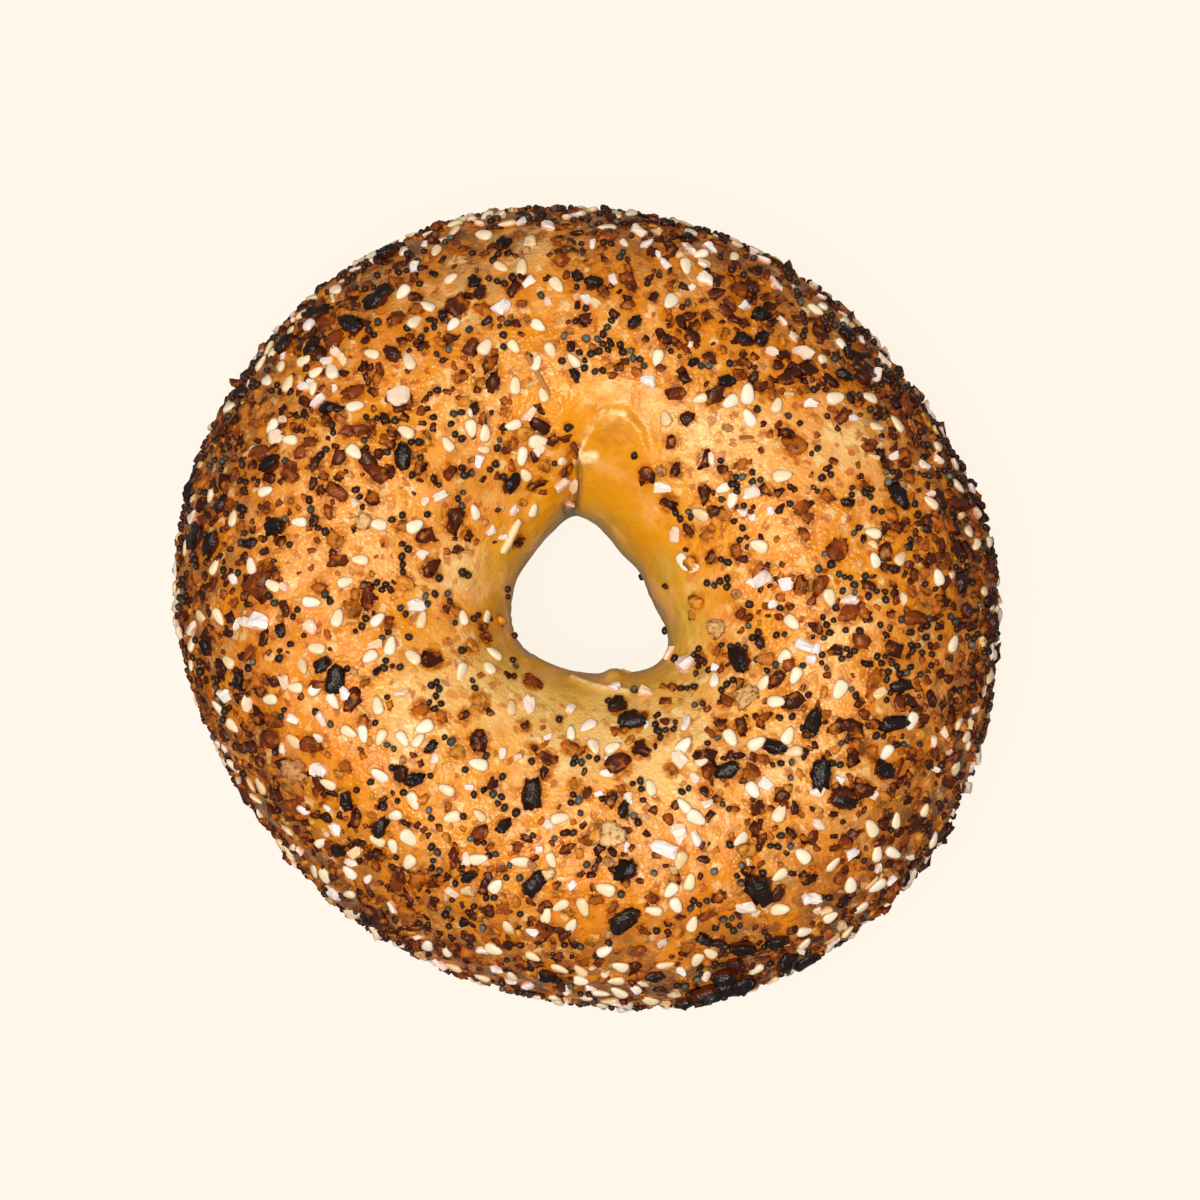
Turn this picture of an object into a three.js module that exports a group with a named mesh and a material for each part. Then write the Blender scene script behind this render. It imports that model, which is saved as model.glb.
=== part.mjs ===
// A hand-rolled bagel: one closed ring of baked dough that lies on its flat base.
// The ring is swept round a three-cornered hole; its section is a domed top, bulging sides and a
// flattened base. Where the rolled rope of dough was joined, a seam runs up the wall of the hole.
// Millimetres, +Z up. The origin is the middle of the base, on the surface that the bagel lies on.

import * as THREE from "three";

// Driving dimensions
const OUTLINE_RADIUS = 59.1; // mean radius of the crust at its widest
const HOLE_RADIUS = 11.0; // mean radius of the hole at its narrowest
const HOLE_SHIFT = new THREE.Vector2(-0.5, -0.5); // the hole is a little off the ring's centre
const CREST_HEIGHT = 41; // top of the dome
const WAIST_HEIGHT = 18.5; // where the ring is widest and the hole narrowest
const BASE_SAG = 2.2; // how much of the round section the base has lost by lying flat
const CREST_LEAN = 1.6; // how far the crest leans from the middle of the section to the hole
const DOME_ROUNDNESS = 2.15; // 2 is an ellipse, more is squarer
const BELLY_ROUNDNESS = 2.45;

// Unevenness of hand rolling: each wave adds size × cos(times × (angle − peak)) round the ring.
const OUTLINE_WAVES = [
  { size: 2.2, times: 2, peak: -37 }, // the ring is longer along one diagonal
  { size: 0.25, times: 1, peak: -70 },
  { size: 0.3, times: 3, peak: -58 },
  { size: 0.25, times: 6, peak: 9 },
];
const HOLE_WAVES = [
  { size: 1.1, times: 2, peak: -48 },
  { size: 1.3, times: 3, peak: 90 }, // three corners: one far side, two near side
  { size: 0.35, times: 5, peak: 33 },
  { size: 0.3, times: 6, peak: -29 },
];
const CREST_WAVES = [
  { size: 0.9, times: 1, peak: 200 }, // one side rose more in the oven
  { size: 0.6, times: 2, peak: 20 },
  { size: 0.4, times: 5, peak: 75 },
];
const LUMP_HEIGHT = 0.3; // slow swellings of the skin
const LUMPS_ROUND = 7; // how many of them round the ring
const LUMPS_ACROSS = 3; // and round the section
const LUMP_WANDER = 2; // how far they stray from straight rows, in radians

// The seam: a crease up the hole's wall, with the rope's end standing proud beside it.
const SEAM_START = 97; // its direction at the hole's narrowest, degrees
const SEAM_TURN = -22; // how much it turns by the time it reaches the crest
const CREASE_DEPTH = 1.3;
const CREASE_WIDTH = 2.2;
const LIP_HEIGHT = 0.9;
const LIP_WIDTH = 2.6;
const LIP_DISTANCE = 3.4; // from the crease to the top of the lip
const SEAM_MIDDLE = 0.13; // where the seam is strongest, as a share of the ring's width
const SEAM_SPREAD = 0.14; // how far from there it fades out

// The grid of the mesh
const STEPS_ROUND = 108;
const STEPS_ACROSS = 44;

const CRUST_COLOUR = 0xc98a45;

function waves(list, angle) {
  let sum = 0;
  for (const { size, times, peak } of list) {
    sum += size * Math.cos(times * (angle - THREE.MathUtils.degToRad(peak)));
  }
  return sum;
}

function bump(distance, width) {
  return Math.exp(-((distance / width) ** 2));
}

// Where the hole's edge and the outline lie in one direction from the centre.
function edges(angle) {
  const direction = new THREE.Vector2(Math.cos(angle), Math.sin(angle));
  const inner = direction
    .clone()
    .multiplyScalar(HOLE_RADIUS + waves(HOLE_WAVES, angle))
    .add(HOLE_SHIFT);
  const outer = direction.clone().multiplyScalar(OUTLINE_RADIUS + waves(OUTLINE_WAVES, angle));
  return { inner, outer };
}

// How far the seam lifts or lowers the skin, at a share of the ring's width from the hole.
function seamOffset(angle, share, radius) {
  const fade = bump(share - SEAM_MIDDLE, SEAM_SPREAD);
  const seam = THREE.MathUtils.degToRad(SEAM_START + SEAM_TURN * share);
  const distance = radius * Math.sin(angle - seam);
  const facing = Math.cos(angle - seam) > 0 ? 1 : 0; // not on the far side of the hole
  const crease = -CREASE_DEPTH * bump(distance, CREASE_WIDTH);
  const lip = LIP_HEIGHT * bump(distance - LIP_DISTANCE, LIP_WIDTH);
  return facing * fade * (crease + lip);
}

// A point of the skin: angle goes round the ring, turn goes round the section from its outer side up.
function skin(angle, turn) {
  const { inner, outer } = edges(angle);
  const halfWidth = inner.distanceTo(outer) / 2;
  const upper = Math.sin(turn) >= 0;
  const roundness = upper ? DOME_ROUNDNESS : BELLY_ROUNDNESS;
  const halfHeight = upper
    ? CREST_HEIGHT - WAIST_HEIGHT + waves(CREST_WAVES, angle)
    : WAIST_HEIGHT + BASE_SAG;

  const cosine = Math.cos(turn);
  const sine = Math.sin(turn);
  const reach = (Math.abs(cosine) ** roundness + Math.abs(sine) ** roundness) ** (-1 / roundness);
  const share = (1 + reach * cosine) / 2;
  const wander = LUMP_WANDER * Math.sin(LUMPS_ACROSS * turn + angle);
  const lump = LUMP_HEIGHT * share * Math.sin(LUMPS_ROUND * angle + wander);
  const place = inner.clone().lerp(outer, share);
  const offset = lump + seamOffset(angle, share, place.length());
  const lean = upper ? CREST_LEAN * sine : 0;
  const across = halfWidth * reach * cosine + offset * cosine - lean;
  const height = WAIST_HEIGHT + halfHeight * reach * sine + offset * sine;

  const middle = inner.clone().lerp(outer, 0.5);
  const outward = outer.clone().sub(inner).normalize();
  middle.addScaledVector(outward, across);
  return new THREE.Vector3(middle.x, middle.y, Math.max(0, height));
}

function bagelGeometry() {
  const points = [];
  const faces = [];
  for (let i = 0; i < STEPS_ROUND; i++) {
    const angle = (2 * Math.PI * i) / STEPS_ROUND;
    for (let j = 0; j < STEPS_ACROSS; j++) {
      points.push(skin(angle, (2 * Math.PI * j) / STEPS_ACROSS));
      const nextRound = (i + 1) % STEPS_ROUND;
      const nextAcross = (j + 1) % STEPS_ACROSS;
      const a = i * STEPS_ACROSS + j;
      const b = nextRound * STEPS_ACROSS + j;
      const c = nextRound * STEPS_ACROSS + nextAcross;
      const d = i * STEPS_ACROSS + nextAcross;
      faces.push(a, b, c, a, c, d);
    }
  }
  const geometry = new THREE.BufferGeometry().setFromPoints(points).setIndex(faces);
  geometry.computeBoundingBox();
  const centre = geometry.boundingBox.getCenter(new THREE.Vector3());
  geometry.translate(-centre.x, -centre.y, 0);
  geometry.computeVertexNormals();
  return geometry;
}

function crustMaterial() {
  return new THREE.MeshStandardMaterial({ color: CRUST_COLOUR, roughness: 0.45, metalness: 0 });
}

const bagel = new THREE.Mesh(bagelGeometry(), crustMaterial());
bagel.name = "bagel";

const part = new THREE.Group();
part.add(bagel);

export default part;
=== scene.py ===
import math
from itertools import product

import bpy
import numpy as np
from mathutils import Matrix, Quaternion, Vector
from mathutils.bvhtree import BVHTree
from mathutils.kdtree import KDTree


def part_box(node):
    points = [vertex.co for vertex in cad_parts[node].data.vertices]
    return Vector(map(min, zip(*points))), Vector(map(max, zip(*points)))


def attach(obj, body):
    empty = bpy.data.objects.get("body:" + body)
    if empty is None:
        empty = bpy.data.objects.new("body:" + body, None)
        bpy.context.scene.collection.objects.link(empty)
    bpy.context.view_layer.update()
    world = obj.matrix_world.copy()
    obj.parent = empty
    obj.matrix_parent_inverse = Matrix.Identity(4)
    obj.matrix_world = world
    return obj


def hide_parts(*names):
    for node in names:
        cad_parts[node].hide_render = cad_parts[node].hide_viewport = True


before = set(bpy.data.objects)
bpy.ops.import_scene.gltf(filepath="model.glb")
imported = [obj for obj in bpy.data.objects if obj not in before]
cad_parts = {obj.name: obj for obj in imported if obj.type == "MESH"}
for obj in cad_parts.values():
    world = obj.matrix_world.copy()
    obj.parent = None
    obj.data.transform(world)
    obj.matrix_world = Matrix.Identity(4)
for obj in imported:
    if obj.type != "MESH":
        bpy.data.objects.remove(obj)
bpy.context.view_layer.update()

MM = 0.001


# ---------------------------------------------------------------------------------------------
# The view: from nearly straight above, leaning a little to the near side, as over food that
# lies on a table. The bagel fills two thirds of a square frame.

FRAME_SIDE = 1200  # pixels
PIXEL = 0.146 * MM  # what a pixel covers at the height of the ring's waist
VIEW_DISTANCE = 600 * MM
VIEW_LEAN = math.radians(6)  # from straight down
AIM = Vector((1.9 * MM, 0.3 * MM, 20 * MM))
SENSOR_WIDTH = 36.0  # in Blender's camera millimetres

scene = bpy.context.scene


def in_scene(name, data):
    """A new object in the scene."""
    thing = bpy.data.objects.new(name, data)
    scene.collection.objects.link(thing)
    return thing


camera_data = bpy.data.cameras.new("camera")
camera_data.sensor_width = SENSOR_WIDTH
camera_data.lens = SENSOR_WIDTH * VIEW_DISTANCE / (FRAME_SIDE * PIXEL)
camera = in_scene("camera", camera_data)
look = Vector((0, math.sin(VIEW_LEAN), -math.cos(VIEW_LEAN)))
camera.location = AIM - VIEW_DISTANCE * look
camera.rotation_euler = (VIEW_LEAN, 0, 0)
scene.camera = camera

across_view = Vector((1, 0, 0))
up_view = across_view.cross(look)
PIXELS_PER_SLOPE = VIEW_DISTANCE / PIXEL


def sight_line(x, y):
    """The direction in which the camera sees a pixel of the square frame."""
    right = (x - FRAME_SIDE / 2) / PIXELS_PER_SLOPE
    up = (FRAME_SIDE / 2 - y) / PIXELS_PER_SLOPE
    return (look + right * across_view + up * up_view).normalized()


# ---------------------------------------------------------------------------------------------
# The studio: a cream paper floor under one large soft lamp overhead and an even pale sky. The
# paper glows, so that shadows stay faint, and lights the object itself only a little.

FLOOR_SIZE = 8.0
PAPER = (0.05, 0.046, 0.042, 1.0)
PAPER_GLOW = (0.95, 0.87, 0.766, 1.0)
PAPER_ROUGHNESS = 0.9
BOUNCE = 0.18  # the share of the glow that reaches the object
LAMP_SIZE = 0.5
LAMP_PLACE = Vector((-0.12, -0.20, 1.0))
LAMP_POWER = 8.6
SKY_STRENGTH = 0.4
BACKDROP_STRENGTH = 0.95  # what the camera itself sees of the sky


def shade(red, green, blue):
    """A colour given in everyday 0 to 255 numbers, as the linear numbers that shaders take."""
    shares = [part / 255 for part in (red, green, blue)]
    return (*(s / 12.92 if s < 0.04045 else ((s + 0.055) / 1.055) ** 2.4 for s in shares), 1.0)


class Value:
    """What comes out of a node. Sums of values are written as sums, and each becomes a node."""

    def __init__(self, socket):
        self.socket = socket
        self.tree = socket.id_data

    def other(self, label):
        """Another output of the same node."""
        return Value(self.socket.node.outputs[label])

    def __add__(self, b):
        return calc("ADD", self, b)

    def __sub__(self, b):
        return calc("SUBTRACT", self, b)

    def __rsub__(self, a):
        return calc("SUBTRACT", a, self)

    def __mul__(self, b):
        return calc("MULTIPLY", self, b)

    def __truediv__(self, b):
        return calc("DIVIDE", self, b)

    def __rtruediv__(self, a):
        return calc("DIVIDE", a, self)

    __radd__ = __add__
    __rmul__ = __mul__


def fill(socket, value):
    """Sets a node's input, or links it to a value."""
    if isinstance(value, Value):
        value.tree.links.new(value.socket, socket)
    else:
        socket.default_value = value


def add(tree, kind, inputs=None, **settings):
    """Adds a node with its settings, fills its inputs, and gives what comes out of it first."""
    node = tree.nodes.new(kind)
    for label, value in settings.items():
        setattr(node, label, value)
    in_use = [socket for socket in node.inputs if socket.enabled]
    for label, value in (inputs or {}).items():
        fill(next(socket for socket in in_use if socket.name == label), value)
    return Value(next(socket for socket in node.outputs if socket.enabled))


def spread(value, low, high, new_low=0.0, new_high=1.0, curve="SMOOTHSTEP"):
    """A value moved from one range to another, and held at the ends."""
    return add(value.tree, "ShaderNodeMapRange", {
        "Value": value,
        "From Min": low,
        "From Max": high,
        "To Min": new_low,
        "To Max": new_high,
    }, interpolation_type=curve)


def fill_seen_apart(socket, lighting, seen):
    """Gives a strength one value for what it lights and another for the camera itself."""
    camera_ray = add(socket.id_data, "ShaderNodeLightPath").other("Is Camera Ray")
    fill(socket, spread(camera_ray, 0.0, 1.0, lighting, seen, "LINEAR"))


scene.view_settings.view_transform = "Standard"

paper = bpy.data.materials.new("cream_paper")
paper.use_nodes = True
paper_surface = paper.node_tree.nodes["Principled BSDF"].inputs
paper_surface["Base Color"].default_value = PAPER
paper_surface["Roughness"].default_value = PAPER_ROUGHNESS
paper_surface["Emission Color"].default_value = PAPER_GLOW
fill_seen_apart(paper_surface["Emission Strength"], BOUNCE, 1.0)

half = FLOOR_SIZE / 2
floor_corners = [(-half, -half, 0), (half, -half, 0), (half, half, 0), (-half, half, 0)]
floor_mesh = bpy.data.meshes.new("floor")
floor_mesh.from_pydata(floor_corners, [], [(0, 1, 2, 3)])
floor_mesh.materials.append(paper)
floor = in_scene("floor", floor_mesh)

lamp_data = bpy.data.lights.new("overhead_lamp", "AREA")
lamp_data.shape = "DISK"
lamp_data.size = LAMP_SIZE
lamp_data.energy = LAMP_POWER
lamp = in_scene("overhead_lamp", lamp_data)
lamp.location = LAMP_PLACE
lamp.rotation_euler = (-LAMP_PLACE).to_track_quat("-Z", "Y").to_euler()

sky = bpy.data.worlds.new("sky")
sky.use_nodes = True
sky_light = sky.node_tree.nodes["Background"].inputs
sky_light["Color"].default_value = shade(255, 250, 244)
fill_seen_apart(sky_light["Strength"], SKY_STRENGTH, BACKDROP_STRENGTH)
scene.world = sky


# ---------------------------------------------------------------------------------------------
# The crust: a rope of wheat dough rolled by hand, joined into a ring, boiled and baked. Its
# skin is golden and glossy, stretched in places into lumps, puckers and fine blisters.
# A grid is wrapped round the section and out to the solid ring, then given its relief.

FULL_TURN = 2 * math.pi
HOLE_RADIUS = 11 * MM
CORE_HEIGHT = 18.5 * MM
STEPS = {"Steps round": 500, "Steps across": 196}
SIZES = {
    "Core radius": 0.5 * (HOLE_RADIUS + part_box("bagel")[1].x),  # the rope's middle, from above
    "Core height": CORE_HEIGHT,
    "Lump height": 0.6 * MM,
    "Pucker height": 0.26 * MM,
    "Blister height": 0.22 * MM,
    "Flap height": 0.6 * MM,
    "Crease depth": 1.1 * MM,
    "Fold height": 0.45 * MM,
    "Drop height": 0.7 * MM,
    "Knob height": 0.9 * MM,
    "Sole lift": 0.45 * MM,  # the sole stands on the seeds that are baked into it
}
FINEST_ROW = 0.6  # the rows across lie closest here, at the edge of the hole
ROWS_GATHER = 0.45  # how much closer than on average
RAY_LENGTH = 100 * MM  # well past the skin, from the middle of the rope
DOUBLES_APART = 0.01 * MM
EDGES_APART = 0.002 * MM  # where the grid's first and last rows meet
EVENING_ROUNDS = 6
SOLE_WAVE, SOLE_UNEVEN = 7 * MM, 0.2 * MM  # how wide and how high the sole's waves are
LUMP_SIZE, PUCKER_SIZE = 24 * MM, 5 * MM
BLISTER_ROOM, BLISTER_SHARE = 1.9 * MM, 0.45  # a blister has this room, and fills this much
BLISTERED_SIZE = 14 * MM  # of the patches of skin that have blisters
FLAP_SOFTNESS, FLAP_FADE, LIP_WIDTH = 0.35 * MM, 5.5 * MM, 0.5 * MM
CREASE_WIDTH, CREASE_LINE = 0.7 * MM, 0.4 * MM  # the dip, and the line of painted shade in it
FOLD_WIDTH, FOLD_LINE = 0.5 * MM, 0.32 * MM  # the ridge, and the painted shine on it
DROP_WIDTH, KNOB_WIDTH = 0.85 * MM, 1.1 * MM
UPPER_FROM, UPPER_TO = 14 * MM, 20 * MM  # the join shows only above these heights
WALL_FROM, WALL_TO = 8 * MM, 11 * MM  # and the fold and the knob above these

# The marks that hands and oven left round the hole, in pixels as the camera sees them.
MARKS = {
    # Where the rope's end lies over its start, and the part of that edge with a painted highlight
    "Flap edge": ((572, 512), (578, 486), (577, 465), (580, 448), (586, 435), (594, 423),
                  (602, 413), (613, 410), (624, 412), (633, 420), (642, 431)),
    "Flap lip": ((576, 462), (580, 448), (585, 436), (593, 424), (600, 414), (611, 411), (624, 414)),
    # The open part of the join, and a bead of glaze on it
    "Crease": ((570, 516), (575, 505), (578, 490), (578, 476), (577, 464)),
    "Drop": ((584, 459), (593, 458)),
    # Stretched skin and a blister at the near side
    "Fold": ((572, 676), (590, 683), (608, 688), (628, 691)),
    "Knob": ((612, 674), (617, 674)),
}
FLAP_BASE = ((652, 470), (640, 525), (600, 516))  # closes the flap round the hole's wall


def calc(operation, a, b=0.0):
    """The result of one sum on numbers, or on vectors where either of the two is one."""
    values = [value for value in (a, b) if isinstance(value, Value)]
    if all(value.socket.type in ("VALUE", "INT") for value in values):
        kind = "ShaderNodeMath"
    else:
        kind = "ShaderNodeVectorMath"
        a, b = ((part,) * 3 if isinstance(part, (int, float)) else part for part in (a, b))
    result = add(values[0].tree, kind, operation=operation)
    for socket, part in zip(result.socket.node.inputs, (a, b)):
        fill(socket, part)
    return result


def vector_of(x, y, z):
    return add(x.tree, "ShaderNodeCombineXYZ", {"X": x, "Y": y, "Z": z})


def parts_of(vector):
    first = add(vector.tree, "ShaderNodeSeparateXYZ", {"Vector": vector})
    return first, first.other("Y"), first.other("Z")


def noise(place, size, detail=2.0):
    """Smooth noise from 0 to 1 whose features have about this size in metres."""
    return add(place.tree, "ShaderNodeTexNoise", {"Vector": place, "Scale": 1 / size, "Detail": detail})


def swing(place, size, detail=2.0):
    """The same noise from -1 to 1."""
    return (noise(place, size, detail) - 0.5) * 2.0


def cells(place, size):
    """The distance to the middle of the nearest of many cells, which are about this large."""
    return add(place.tree, "ShaderNodeTexVoronoi", {"Vector": place, "Scale": 1 / size})


def hill(distance, width):
    """1 at no distance, falling off smoothly to nothing at about twice the width."""
    ratio = distance / width
    return calc("EXPONENT", ratio * ratio * -1.0)


def new_tree(name, **inputs):
    """A Geometry Nodes tree with these named inputs of each kind, and the values they bring."""
    tree = bpy.data.node_groups.new(name, "GeometryNodeTree")
    tree.interface.new_socket("Geometry", in_out="OUTPUT", socket_type="NodeSocketGeometry")
    for kind, labels in {"Geometry": ("Geometry",), "Material": ("Material",), **inputs}.items():
        for label in labels:
            tree.interface.new_socket(label, in_out="INPUT", socket_type="NodeSocket" + kind)
    return tree, {socket.name: Value(socket) for socket in tree.nodes.new("NodeGroupInput").outputs}


def end_tree(geometry, smooth, material):
    """The end of a tree: its shading, real faces and their material."""
    tree = geometry.tree
    shaded = add(tree, "GeometryNodeSetShadeSmooth", {"Geometry": geometry, "Shade Smooth": smooth})
    real = add(tree, "GeometryNodeRealizeInstances", {"Geometry": shaded})
    coated = add(tree, "GeometryNodeSetMaterial", {"Geometry": real, "Material": material})
    fill(tree.nodes.new("NodeGroupOutput").inputs[0], coated)


def keep(geometry, label, value, kind="FLOAT", domain="POINT"):
    """The geometry, carrying this value under this name."""
    return add(geometry.tree, "GeometryNodeStoreNamedAttribute", {
        "Geometry": geometry,
        "Name": label,
        "Value": value,
    }, data_type=kind, domain=domain)


def merged(geometry, apart):
    """The geometry, its corners that lie closer than this made one."""
    return add(geometry.tree, "GeometryNodeMergeByDistance", {"Geometry": geometry, "Distance": apart})


def moved(geometry, label, vector):
    """The geometry, every corner moved to a Position or by an Offset."""
    return add(geometry.tree, "GeometryNodeSetPosition", {"Geometry": geometry, label: vector})


def grown(name, start, tree, inputs):
    """The plain mesh object that a tree makes from a starting mesh. The tree's object is removed."""
    seed = in_scene(name + "_seed", start)
    modifier = seed.modifiers.new("tree", "NODES")
    modifier.node_group = tree
    for item in tree.interface.items_tree:
        if item.in_out == "INPUT" and item.name in inputs:
            modifier[item.identifier] = inputs[item.name]
    evaluated = seed.evaluated_get(bpy.context.evaluated_depsgraph_get())
    mesh = bpy.data.meshes.new_from_object(evaluated)
    bpy.data.objects.remove(seed)
    mesh.name = name
    if mesh.materials[0] is None:  # a slot that the tree's first shape brings along
        mesh.materials.pop(index=0)
    return in_scene(name, mesh)


def surface_of(mesh):
    """A mesh's faces, made ready for questions of what is near and what a line meets."""
    return BVHTree.FromPolygons([v.co for v in mesh.vertices], [p.vertices for p in mesh.polygons])


def seen_at(surface, x, y):
    """The surface's point that the camera sees at a pixel, and the normal there.
    Just past the outline, it is the nearest point to where the sight line crosses the waist."""
    line = sight_line(x, y)
    place, normal, _, _ = surface.ray_cast(camera.location, line)
    if place is None:
        at_waist = camera.location + line * ((CORE_HEIGHT - camera.location.z) / line.z)
        place, normal, _, _ = surface.find_nearest(at_waist)
    return place, normal


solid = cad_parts["bagel"]
solid_surface = surface_of(solid.data)


def marker(pixels, closed=False):
    """A flat line or face, at height 0, below the points of the solid ring that the camera sees
    at these pixels."""
    corners = []
    for x, y in pixels:
        place, _ = seen_at(solid_surface, x, y)
        corners.append((place.x, place.y, 0))
    mesh = bpy.data.meshes.new("marker")
    if closed:
        mesh.from_pydata(corners, [], [tuple(range(len(corners)))])
    else:
        mesh.from_pydata(corners, [(i, i + 1) for i in range(len(corners) - 1)], [])
    return in_scene("marker", mesh)


markers = {label: marker(pixels) for label, pixels in MARKS.items()}
markers["Flap"] = marker(MARKS["Flap edge"] + FLAP_BASE, closed=True)

ring_tree, given = new_tree("rolled_ring", Int=STEPS, Float=SIZES, Object=markers)

# The solid ring, smoothed, is what the grid is wrapped onto. The grid's two directions become
# the angle round the ring and the turn round the rope.
whole = merged(given["Geometry"], DOUBLES_APART)
smooth = add(ring_tree, "GeometryNodeSubdivisionSurface", {"Mesh": whole, "Level": 1})
grid = add(ring_tree, "GeometryNodeMeshGrid", {
    "Size X": 1.0,
    "Size Y": 1.0,
    "Vertices X": given["Steps round"] + 1,
    "Vertices Y": given["Steps across"] + 1,
})
place = add(ring_tree, "GeometryNodeInputPosition")
place_x, place_y, height = parts_of(place)
angle = (place_x + 0.5) * FULL_TURN
evenly = place_y + 0.5
gather = calc("SINE", (evenly - FINEST_ROW) * FULL_TURN) + math.sin(FULL_TURN * FINEST_ROW)
across = evenly - gather * (ROWS_GATHER / FULL_TURN)
turn = (across - 0.25) * FULL_TURN
cosine = calc("COSINE", angle)
sine = calc("SINE", angle)
outwards = calc("COSINE", turn)
hit = add(ring_tree, "GeometryNodeRaycast", {
    "Target Geometry": smooth,
    "Source Position": vector_of(cosine * given["Core radius"], sine * given["Core radius"],
                                 given["Core height"]),
    "Ray Direction": vector_of(cosine * outwards, sine * outwards, calc("SINE", turn)),
    "Ray Length": RAY_LENGTH,
})
ring = keep(grid, "OFBake", grid.other("UV Map"), "FLOAT2", "CORNER")
ring = keep(ring, "across", across)
ring = merged(moved(ring, "Position", hit.other("Hit Position")), EDGES_APART)
evened = add(ring_tree, "GeometryNodeBlurAttribute", {
    "Value": place,
    "Iterations": EVENING_ROUNDS,
}, data_type="FLOAT_VECTOR")
ring = moved(ring, "Position", evened)

# Relief: slow lumps, puckers a few millimetres wide, blisters, and the join of the rope.
lumps = swing(place, LUMP_SIZE, 1.0) * given["Lump height"]
puckers = swing(place, PUCKER_SIZE) * given["Pucker height"]
blistered = spread(noise(place, BLISTERED_SIZE, 1.0), 0.48, 0.62, curve="LINEAR")
blister = hill(cells(place, BLISTER_ROOM), BLISTER_SHARE)
blisters = blister * blistered * given["Blister height"]
plan = vector_of(place_x, place_y, 0.0)
upper = spread(height, UPPER_FROM, UPPER_TO, curve="LINEAR")
on_wall = spread(height, WALL_FROM, WALL_TO, curve="LINEAR")


def distance_to(label, element="EDGES"):
    """How far the skin is, seen from above, from the marker given under this name."""
    shape = add(ring_tree, "GeometryNodeObjectInfo", {"Object": given[label]}, transform_space="ORIGINAL")
    near = add(ring_tree, "GeometryNodeProximity", {
        "Geometry": shape.other("Geometry"),
        "Sample Position": plan,
    }, target_element=element)
    return near.other("Distance")


on_flap = hill(distance_to("Flap", "FACES"), FLAP_SOFTNESS) * hill(distance_to("Flap edge"), FLAP_FADE)
off_crease = distance_to("Crease")
on_crease = hill(off_crease, CREASE_WIDTH)
on_drop = hill(distance_to("Drop"), DROP_WIDTH)
off_fold = distance_to("Fold")
on_fold = hill(off_fold, FOLD_WIDTH)
on_knob = hill(distance_to("Knob"), KNOB_WIDTH)
join = on_flap * given["Flap height"] - on_crease * given["Crease depth"] + on_drop * given["Drop height"]
near_side = on_fold * given["Fold height"] + on_knob * given["Knob height"]
relief = lumps + puckers + blisters + join * upper + near_side * on_wall
ring = moved(ring, "Offset", add(ring_tree, "GeometryNodeInputNormal") * relief)

# The sole is flat, a little uneven, and stands just above the table.
sole = given["Sole lift"] + swing(place, SOLE_WAVE) * SOLE_UNEVEN
ring = moved(ring, "Position", vector_of(place_x, place_y, calc("MAXIMUM", height, sole)))
# Where the flap's raised edge gets a painted highlight
ring = keep(ring, "flap_lip", hill(distance_to("Flap lip"), LIP_WIDTH) * upper)
# The dark line in the crease: painted shade
ring = keep(ring, "crease", hill(off_crease, CREASE_LINE) * upper)
# The drop's own glaze, and a painted shine along the fold
ring = keep(ring, "glaze", calc("MAXIMUM", on_drop * upper, hill(off_fold, FOLD_LINE) * on_wall))
end_tree(ring, True, given["Material"])


def ramp(factor, stops):
    """The colour at a factor, between those of the stops: {factor: colour}."""
    colour = add(factor.tree, "ShaderNodeValToRGB", {"Fac": factor})
    line = colour.socket.node.color_ramp.elements
    while len(line) < len(stops):
        line.new(0.5)
    for element, (at, tone) in zip(line, stops.items()):
        element.position = at
        element.color = shade(*tone)
    return colour


def elsewhere(place, shift):
    """The same place moved to another part of the noise, by a number of metres each way."""
    return place + (shift, 1.7 * shift, -0.6 * shift)


def warped(place, size, reach):
    """The place pushed about by noise, so that what is drawn on it gets crooked outlines."""
    return place + (noise(place, size, 3.0).other("Color") - 0.5) * (2 * reach)


def drifts(place, size, detail, low, high, strength):
    """Soft-edged patches: nothing where the noise is below low, full strength above high."""
    return spread(noise(place, size, detail), low, high, 0.0, strength)


FLECK_EDGE, FLECK_CORE = 0.56, 0.32  # where a spot starts, and where it is full, in its room


def flecks(place, size, share):
    """Soft spots that have about this room in this share of the places for one, from 0 to 1."""
    off_middle = cells(place, size)
    luck = add(place.tree, "ShaderNodeSeparateColor", {"Color": off_middle.other("Color")})
    return spread(off_middle, FLECK_EDGE, FLECK_CORE) * calc("LESS_THAN", luck, share)


class Look:
    """A material in the making: its surface, and the place on the piece as spot."""

    def __init__(self, name, roughness, gloss, gloss_colour):
        self.material = bpy.data.materials.new(name)
        self.material.use_nodes = True
        self.tree = self.material.node_tree
        self.surface = self.tree.nodes["Principled BSDF"].inputs
        self.surface["Roughness"].default_value = roughness
        self.surface["Specular IOR Level"].default_value = gloss
        self.surface["Specular Tint"].default_value = gloss_colour
        self.spot = add(self.tree, "ShaderNodeTexCoord").other("Object")

    def own(self, label):
        """A number that the piece's mesh carries."""
        return add(self.tree, "ShaderNodeAttribute", attribute_name=label).other("Fac")

    def paint(self, factor, stops, *layers):
        """Colours that follow each other along a factor, with layers over them. Each layer is a
        share from 0 to 1 and a colour."""
        colour = ramp(factor, stops)
        for share, tone in layers:
            inputs = {"Factor": share, "A": colour, "B": shade(*tone)}
            colour = add(self.tree, "ShaderNodeMix", inputs, data_type="RGBA")
        fill(self.surface["Base Color"], colour)

    def lit_through(self, weight, radius, depth):
        """Lets light in: the share of it, how deep each colour goes, and the depth in metres."""
        self.surface["Subsurface Weight"].default_value = weight
        self.surface["Subsurface Radius"].default_value = radius
        self.surface["Subsurface Scale"].default_value = depth

    def bumps(self, height, depth):
        """Fine relief in the shading: the height, from 0 to 1, stands for this depth in metres."""
        inputs = {"Strength": 1.0, "Distance": depth, "Height": height}
        fill(self.surface["Normal"], add(self.tree, "ShaderNodeBump", inputs))
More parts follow.
